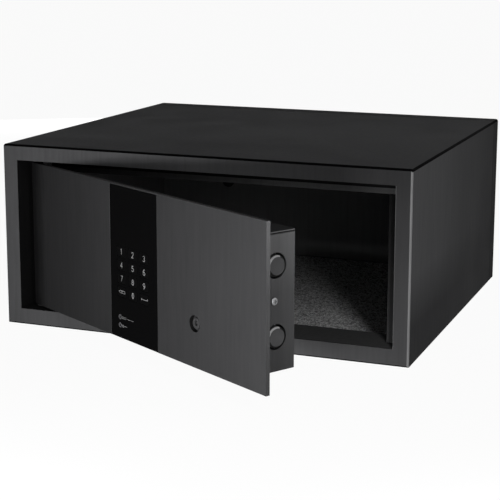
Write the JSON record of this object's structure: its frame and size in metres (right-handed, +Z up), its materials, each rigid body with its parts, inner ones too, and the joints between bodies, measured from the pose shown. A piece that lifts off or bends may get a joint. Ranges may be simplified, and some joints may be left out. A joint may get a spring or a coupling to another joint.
{
  "type": "hotel safe",
  "caption": "Wide low steel room safe with a recessed swinging door, black keypad strip, override key lock and motor-driven bolts, shown with the door ajar.",
  "frame": {"origin": "centre of the case's underside", "axes": "+Z up, +Y from the front frame towards the back, +X towards the door's free edge"},
  "size_m": [0.42, 0.5512, 0.184],
  "materials": {
    "case_paint": "satin charcoal powder coat",
    "door_paint": "satin charcoal powder coat",
    "keypad_gloss": "smoked gloss",
    "key_gloss": "gloss with pale printed digits",
    "light_pin": "frosted",
    "bright_steel": "bright",
    "dark_steel": "turned, dark plated",
    "zinc_steel": "zinc plated",
    "carpet": "needle felt",
    "rubber": "matt",
    "plastic": "fine grain",
    "board": "solder mask",
    "display": "smoked",
    "cell_wrap": "printed wrap",
    "nylon": "moulded",
    "lead": "insulation"
  },
  "bodies": {
    "root": {"casing_wrap": "case_paint", "base_plate": "case_paint", "back_panel": "case_paint", "front_frame": "case_paint", "stop_strip_top": "case_paint", "stop_strip_side": "case_paint", "hinge_bush_lower": "plastic", "hinge_bush_upper": "plastic", "hinge_rod": "bright_steel", "base_plug_left": "rubber", "base_plug_right": "rubber", "back_plug_left": "rubber", "back_plug_right": "rubber", "floor_mat": "carpet"},
    "door": {"door_plate": "door_paint", "hinge_leaf": "door_paint", "keypad_fascia": "keypad_gloss", "light_pin_upper": "light_pin", "light_pin_lower": "light_pin", "key_mat": "rubber", "display_module": "display", "control_board": "board", "override_lock_body": "zinc_steel", "lock_housing": "door_paint", "housing_screw_1": "bright_steel", "housing_screw_2": "bright_steel", "housing_screw_3": "bright_steel", "housing_screw_4": "bright_steel", "side_screw": "bright_steel", "battery_tray": "plastic", "battery_cell_1": "cell_wrap", "battery_cell_2": "cell_wrap", "battery_cell_3": "cell_wrap", "battery_cell_4": "cell_wrap", "bolt_guide": "zinc_steel", "motor_bracket": "zinc_steel", "lock_motor": "bright_steel", "bolt_switch": "plastic", "motor_lead": "lead"},
    "bolts": {"bolt_bar": "zinc_steel", "bolt_upper": "dark_steel", "bolt_lower": "dark_steel"},
    "pinion": {"drive_pinion": "nylon"},
    "override": {"override_plug": "dark_steel", "override_cam": "zinc_steel"},
    "cover": {"battery_cover": "plastic"},
    "press_key_1": {"key_1": "key_gloss"},
    "press_key_2": {"key_2": "key_gloss"},
    "press_key_3": {"key_3": "key_gloss"},
    "press_key_4": {"key_4": "key_gloss"},
    "press_key_5": {"key_5": "key_gloss"},
    "press_key_6": {"key_6": "key_gloss"},
    "press_key_7": {"key_7": "key_gloss"},
    "press_key_8": {"key_8": "key_gloss"},
    "press_key_9": {"key_9": "key_gloss"},
    "press_key_clear": {"key_clear": "key_gloss"},
    "press_key_0": {"key_0": "key_gloss"},
    "press_key_enter": {"key_enter": "key_gloss"}
  },
  "joints": [
    {"name": "door_hinge", "type": "hinge", "parent": "root", "child": "door", "pos_m": [-0.1801, -0.1687, 0.092], "axis": [0, 0, -1], "range_deg": [-30.3, 69.7]},
    {"name": "bolt_slide", "type": "slide", "parent": "door", "child": "bolts", "axis": [0.8634, -0.5045, 0], "range_m": [0, 0.02]},
    {"name": "pinion_spin", "type": "hinge", "parent": "door", "child": "pinion", "pos_m": [0.06931, -0.29707, 0.093], "axis": [0, 0, 1], "range_deg": [0, 163.8]},
    {"name": "override_turn", "type": "hinge", "parent": "door", "child": "override", "pos_m": [0.05674, -0.30629, 0.0587], "axis": [0.5045, 0.8634, 0], "range_deg": [0, 90]},
    {"name": "battery_cover_slide", "type": "slide", "parent": "door", "child": "cover", "axis": [0.8634, -0.5045, 0], "range_m": [0, 0.062]},
    {"name": "push_key_1", "type": "slide", "parent": "door", "child": "press_key_1", "axis": [0.5045, 0.8634, 0], "range_m": [0, 0.0008], "stiffness_N_per_m": 400, "springref_m": -0.0005},
    {"name": "push_key_2", "type": "slide", "parent": "door", "child": "press_key_2", "axis": [0.5045, 0.8634, 0], "range_m": [0, 0.0008], "stiffness_N_per_m": 400, "springref_m": -0.0005},
    {"name": "push_key_3", "type": "slide", "parent": "door", "child": "press_key_3", "axis": [0.5045, 0.8634, 0], "range_m": [0, 0.0008], "stiffness_N_per_m": 400, "springref_m": -0.0005},
    {"name": "push_key_4", "type": "slide", "parent": "door", "child": "press_key_4", "axis": [0.5045, 0.8634, 0], "range_m": [0, 0.0008], "stiffness_N_per_m": 400, "springref_m": -0.0005},
    {"name": "push_key_5", "type": "slide", "parent": "door", "child": "press_key_5", "axis": [0.5045, 0.8634, 0], "range_m": [0, 0.0008], "stiffness_N_per_m": 400, "springref_m": -0.0005},
    {"name": "push_key_6", "type": "slide", "parent": "door", "child": "press_key_6", "axis": [0.5045, 0.8634, 0], "range_m": [0, 0.0008], "stiffness_N_per_m": 400, "springref_m": -0.0005},
    {"name": "push_key_7", "type": "slide", "parent": "door", "child": "press_key_7", "axis": [0.5045, 0.8634, 0], "range_m": [0, 0.0008], "stiffness_N_per_m": 400, "springref_m": -0.0005},
    {"name": "push_key_8", "type": "slide", "parent": "door", "child": "press_key_8", "axis": [0.5045, 0.8634, 0], "range_m": [0, 0.0008], "stiffness_N_per_m": 400, "springref_m": -0.0005},
    {"name": "push_key_9", "type": "slide", "parent": "door", "child": "press_key_9", "axis": [0.5045, 0.8634, 0], "range_m": [0, 0.0008], "stiffness_N_per_m": 400, "springref_m": -0.0005},
    {"name": "push_key_clear", "type": "slide", "parent": "door", "child": "press_key_clear", "axis": [0.5045, 0.8634, 0], "range_m": [0, 0.0008], "stiffness_N_per_m": 400, "springref_m": -0.0005},
    {"name": "push_key_0", "type": "slide", "parent": "door", "child": "press_key_0", "axis": [0.5045, 0.8634, 0], "range_m": [0, 0.0008], "stiffness_N_per_m": 400, "springref_m": -0.0005},
    {"name": "push_key_enter", "type": "slide", "parent": "door", "child": "press_key_enter", "axis": [0.5045, 0.8634, 0], "range_m": [0, 0.0008], "stiffness_N_per_m": 400, "springref_m": -0.0005}
  ],
  "couplings": [
    {"joint": "pinion_spin", "follows": "bolt_slide", "rad_per_m": 142.86}
  ]
}
